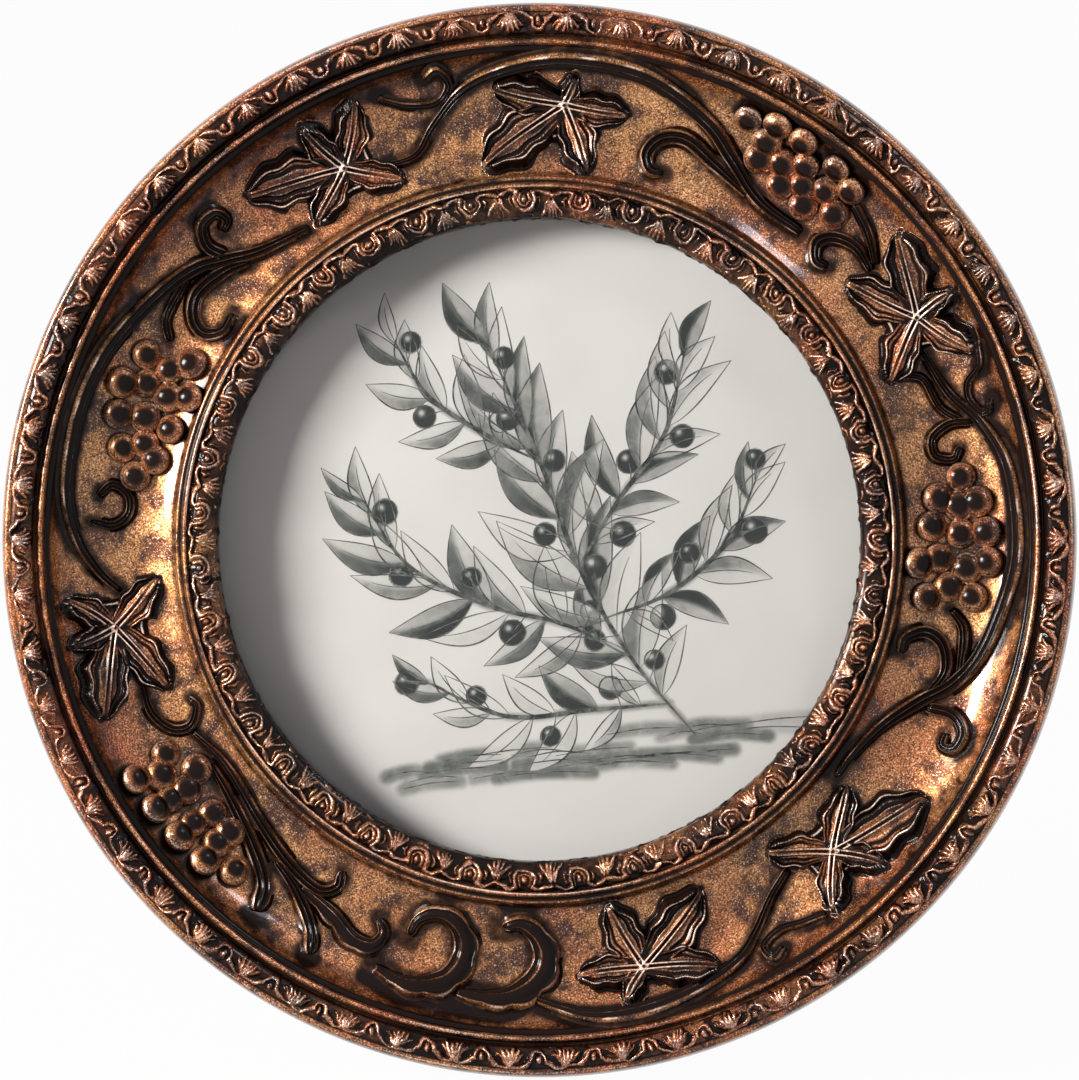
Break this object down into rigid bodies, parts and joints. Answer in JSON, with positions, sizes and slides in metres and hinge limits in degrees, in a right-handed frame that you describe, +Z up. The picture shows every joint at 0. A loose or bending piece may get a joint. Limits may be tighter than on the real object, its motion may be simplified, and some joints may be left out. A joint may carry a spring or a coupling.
{
  "type": "round photo frame",
  "caption": "Round cast picture frame with a vine, leaf and grape relief in a deep cove, glass, print, backing board, turn buttons, wall hanger and a folding easel leg.",
  "frame": {"origin": "on the table, under the middle of the standing frame's overall box", "axes": "+Z up, +X to the viewer's right, -Y towards the viewer; the face leans back by 14 degrees"},
  "size_m": [0.164, 0.068, 0.1602],
  "materials": {
    "bronze_finish": "cast resin with an antiqued bronze and gold finish, darker in the recesses",
    "bronze_glaze": "cast resin with a dark glossy glaze and rubbed gold edges",
    "pane_glass": "clear 2 mm picture glass",
    "print_paper": null,
    "filler_card": "plain grey card",
    "backing_board": "thin fibreboard",
    "leg_board": "thin fibreboard with black painted edges",
    "black_felt": "short black flock",
    "plated_steel": "thin zinc plated steel"
  },
  "bodies": {
    "frame": {"frame_moulding": "bronze_finish", "vine_leaves": "bronze_finish", "grape_clusters": "bronze_glaze", "vine_stems": "bronze_glaze", "acanthus_scrolls": "bronze_finish", "glass_pane": "pane_glass", "photo_print": "print_paper", "filler_card": "filler_card", "backing_board": "backing_board", "backing_felt": "black_felt", "hinge_bracket": "plated_steel", "hinge_pin": "plated_steel", "board_rivets": "plated_steel", "button_screws": "plated_steel", "wall_hanger": "plated_steel", "hanger_nails": "plated_steel"},
    "leg": {"easel_leg": "leg_board", "leg_felt": "black_felt", "leg_bracket": "plated_steel", "leg_rivets": "plated_steel"},
    "button_1": {"turn_button_1": "plated_steel"},
    "button_2": {"turn_button_2": "plated_steel"},
    "button_3": {"turn_button_3": "plated_steel"},
    "button_4": {"turn_button_4": "plated_steel"}
  },
  "joints": [
    {"name": "leg_fold", "type": "hinge", "parent": "frame", "child": "leg", "pos_m": [0, 0.01098, 0.10088], "axis": [-1, 0, 0], "range_deg": [0, 26]},
    {"name": "button_1_turn", "type": "hinge", "parent": "frame", "child": "button_1", "pos_m": [0.04137, 0.01343, 0.11817], "axis": [0, -0.9703, 0.2419], "range_deg": [-90, 90]},
    {"name": "button_2_turn", "type": "hinge", "parent": "frame", "child": "button_2", "pos_m": [-0.04137, 0.01343, 0.11817], "axis": [0, -0.9703, 0.2419], "range_deg": [-90, 90]},
    {"name": "button_3_turn", "type": "hinge", "parent": "frame", "child": "button_3", "pos_m": [-0.04137, -0.00658, 0.03789], "axis": [0, -0.9703, 0.2419], "range_deg": [-90, 90]},
    {"name": "button_4_turn", "type": "hinge", "parent": "frame", "child": "button_4", "pos_m": [0.04137, -0.00658, 0.03789], "axis": [0, -0.9703, 0.2419], "range_deg": [-90, 90]}
  ]
}
